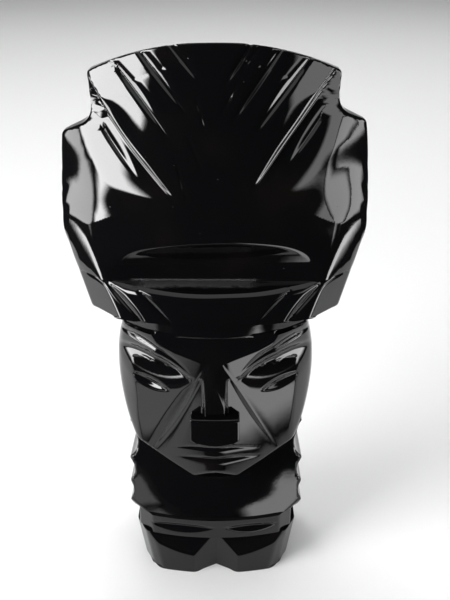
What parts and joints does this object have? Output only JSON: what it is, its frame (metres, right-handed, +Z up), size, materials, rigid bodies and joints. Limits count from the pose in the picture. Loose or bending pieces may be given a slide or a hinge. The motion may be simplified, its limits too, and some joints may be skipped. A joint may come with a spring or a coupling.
{
  "type": "carved stone figurine",
  "caption": "Polished black stone figurine of a standing figure in a tall fluted fan headdress, with a square nose, slanting eyes, a scalloped body and a belt above its feet.",
  "frame": {"origin": "on the flat underside of the foot block, below the centre line of the body", "axes": "+Z up through the fan, -Y out of the face, +X to the right when the face is looked at"},
  "size_m": [0.107, 0.0595, 0.2],
  "materials": {
    "polished_stone": "polished black volcanic glass, mirror bright",
    "dowel_steel": "plain drawn rod, hidden in the stone"
  },
  "bodies": {
    "root": {"crest": "polished_stone", "brow_band": "polished_stone", "head": "polished_stone", "torso": "polished_stone", "belt": "polished_stone", "base": "polished_stone", "crown_pin": "dowel_steel", "neck_pin": "dowel_steel", "waist_pin": "dowel_steel"}
  },
  "joints": []
}
